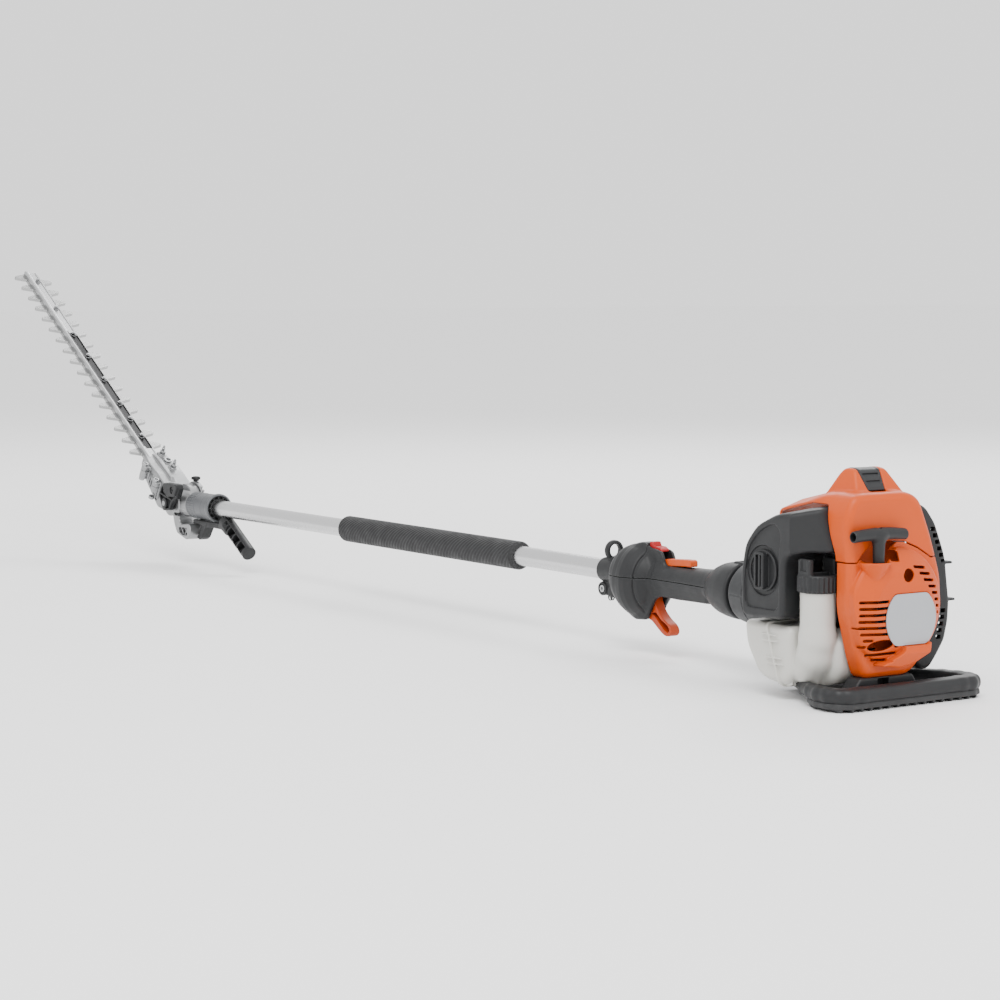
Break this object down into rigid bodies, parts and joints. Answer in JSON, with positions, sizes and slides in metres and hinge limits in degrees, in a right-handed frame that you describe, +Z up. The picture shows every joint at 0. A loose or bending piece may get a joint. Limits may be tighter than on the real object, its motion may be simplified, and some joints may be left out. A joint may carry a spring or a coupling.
{
  "type": "pole hedge trimmer",
  "caption": "Petrol long-reach hedge trimmer: engine on a foot stand, aluminium pole with foam grip, rear throttle handle and a tilting double-sided cutter.",
  "frame": {"origin": "on the floor, on the centre plane, under the stand's rear bar", "axes": "+X forward along the pole to the cutter, +Y to the left, +Z up"},
  "size_m": [2.1789, 0.212, 0.4409],
  "materials": {
    "orange_shell": "satin moulded",
    "dark_plastic": "fine grained",
    "grey_plastic": "fine grained",
    "tank_plastic": "translucent satin",
    "badge_silver": "satin",
    "red_plastic": "satin",
    "trigger_orange": "satin",
    "tube_aluminium": "drawn satin",
    "cast_aluminium": "as cast",
    "rail_aluminium": "extruded",
    "cast_steel": "machined casting",
    "blade_steel": "ground",
    "bright_steel": "turned",
    "collar_grey": "satin",
    "foam_black": "closed cell foam",
    "black_rubber": "moulded",
    "filter_felt": "pleated felt",
    "rope_cord": "braided"
  },
  "bodies": {
    "root": {"drive_tube": "tube_aluminium", "shaft_bushings": "black_rubber", "foam_grip": "foam_black", "suspension_clamp": "dark_plastic", "throttle_handle_upper": "dark_plastic", "throttle_handle_lower": "dark_plastic", "trigger_spring": "bright_steel", "adapter_cone": "dark_plastic", "damper_ring": "black_rubber", "clutch_housing": "grey_plastic", "crankcase": "cast_aluminium", "cylinder": "cast_aluminium", "ignition_coil": "dark_plastic", "spark_plug": "bright_steel", "muffler": "cast_steel", "muffler_guard": "dark_plastic", "carburettor": "cast_aluminium", "air_filter": "filter_felt", "air_filter_cover": "dark_plastic", "fuel_tank": "tank_plastic", "starter_cover": "orange_shell", "top_cover": "orange_shell", "top_insert": "dark_plastic", "starter_badge": "badge_silver", "starter_rope": "rope_cord", "recoil_spring": "bright_steel", "stand": "dark_plastic", "stand_tread": "black_rubber", "case_screws": "bright_steel", "joint_collar": "collar_grey", "collar_ring": "black_rubber", "joint_housing": "cast_aluminium", "lever_handle": "dark_plastic"},
    "trigger": {"throttle_trigger": "trigger_orange"},
    "lockout": {"trigger_lockout": "orange_shell"},
    "switch": {"stop_switch": "red_plastic"},
    "drive_line": {"drive_shaft": "bright_steel", "clutch_drum": "bright_steel"},
    "blade_crank": {"crank_gear": "bright_steel"},
    "engine_crank": {"crankshaft": "bright_steel", "flywheel": "cast_aluminium", "clutch_shoes": "cast_steel"},
    "engine_piston": {"piston": "cast_aluminium", "connecting_rod": "bright_steel"},
    "pull_handle": {"starter_handle": "dark_plastic"},
    "recoil_pulley": {"starter_pulley": "grey_plastic"},
    "cap": {"fuel_cap": "dark_plastic"},
    "cover_knob": {"filter_cover_knob": "dark_plastic"},
    "head": {"gearcase_upper": "cast_aluminium", "gearcase_lower": "cast_aluminium", "gearcase_bolts": "bright_steel", "index_plate": "cast_aluminium", "guide_rail": "rail_aluminium", "blade_bolts": "bright_steel"},
    "blade_top": {"upper_blade": "blade_steel", "upper_rod": "bright_steel"},
    "blade_bottom": {"lower_blade": "blade_steel", "lower_rod": "bright_steel"},
    "clamp_knob": {"tilt_knob": "dark_plastic"},
    "lock_lever": {"tilt_lock_lever": "dark_plastic"}
  },
  "joints": [
    {"name": "head_tilt", "type": "hinge", "parent": "root", "child": "head", "pos_m": [1.614, 0, 0.09], "axis": [0, -1, 0], "range_deg": [-90, 45]},
    {"name": "upper_blade_stroke", "type": "slide", "parent": "head", "child": "blade_top", "axis": [0.8499, 0, 0.527], "range_m": [-0.008, 0.008]},
    {"name": "lower_blade_stroke", "type": "slide", "parent": "head", "child": "blade_bottom", "axis": [0.8499, 0, 0.527], "range_m": [-0.008, 0.008]},
    {"name": "tilt_knob_turn", "type": "hinge", "parent": "head", "child": "clamp_knob", "pos_m": [1.614, -0.0256, 0.121], "axis": [0, 0, 1], "range_deg": [0, 90]},
    {"name": "tilt_lock_release", "type": "hinge", "parent": "root", "child": "lock_lever", "pos_m": [1.614, 0, 0.09], "axis": [0, -1, 0], "range_deg": [0, 25], "stiffness_Nm_per_rad": 0.6, "springref_deg": -5.73},
    {"name": "drive_line_turn", "type": "hinge", "parent": "root", "child": "drive_line", "pos_m": [0.8, 0, 0.09], "axis": [1, 0, 0], "continuous": true},
    {"name": "blade_crank_turn", "type": "hinge", "parent": "root", "child": "blade_crank", "pos_m": [1.614, 0, 0.09], "axis": [0, 1, 0], "continuous": true},
    {"name": "engine_crank_turn", "type": "hinge", "parent": "root", "child": "engine_crank", "pos_m": [0.1, 0, 0.09], "axis": [1, 0, 0], "continuous": true},
    {"name": "piston_stroke", "type": "slide", "parent": "root", "child": "engine_piston", "axis": [0, 0, -1], "range_m": [0, 0.028]},
    {"name": "starter_pull", "type": "slide", "parent": "root", "child": "pull_handle", "axis": [0, 0, 1], "range_m": [0, 0.6], "stiffness_N_per_m": 8, "springref_m": -0.3, "deforming": ["starter_rope"]},
    {"name": "starter_pulley_turn", "type": "hinge", "parent": "root", "child": "recoil_pulley", "pos_m": [0.017, 0, 0.09], "axis": [1, 0, 0], "range_deg": [0, 1720]},
    {"name": "trigger_squeeze", "type": "hinge", "parent": "root", "child": "trigger", "pos_m": [0.424, 0, 0.065], "axis": [0, 1, 0], "range_deg": [0, 20], "stiffness_Nm_per_rad": 0.3, "springref_deg": -5.73},
    {"name": "lockout_press", "type": "hinge", "parent": "root", "child": "lockout", "pos_m": [0.408, 0, 0.107], "axis": [0, -1, 0], "range_deg": [0, 5], "stiffness_Nm_per_rad": 0.3, "springref_deg": -5.73},
    {"name": "stop_switch_slide", "type": "slide", "parent": "root", "child": "switch", "axis": [1, 0, 0], "range_m": [0, 0.003]},
    {"name": "fuel_cap_turn", "type": "hinge", "parent": "root", "child": "cap", "pos_m": [0.059, 0.07, 0.12], "axis": [0, 0, 1], "range_deg": [0, 360]},
    {"name": "filter_knob_turn", "type": "hinge", "parent": "root", "child": "cover_knob", "pos_m": [0.116, 0.097, 0.132], "axis": [0, 1, 0], "range_deg": [0, 90]}
  ],
  "couplings": [
    {"joint": "lower_blade_stroke", "follows": "upper_blade_stroke", "ratio": -1},
    {"joint": "blade_crank_turn", "follows": "drive_line_turn", "ratio": 0.33333},
    {"joint": "starter_pulley_turn", "follows": "starter_pull", "rad_per_m": 50}
  ]
}
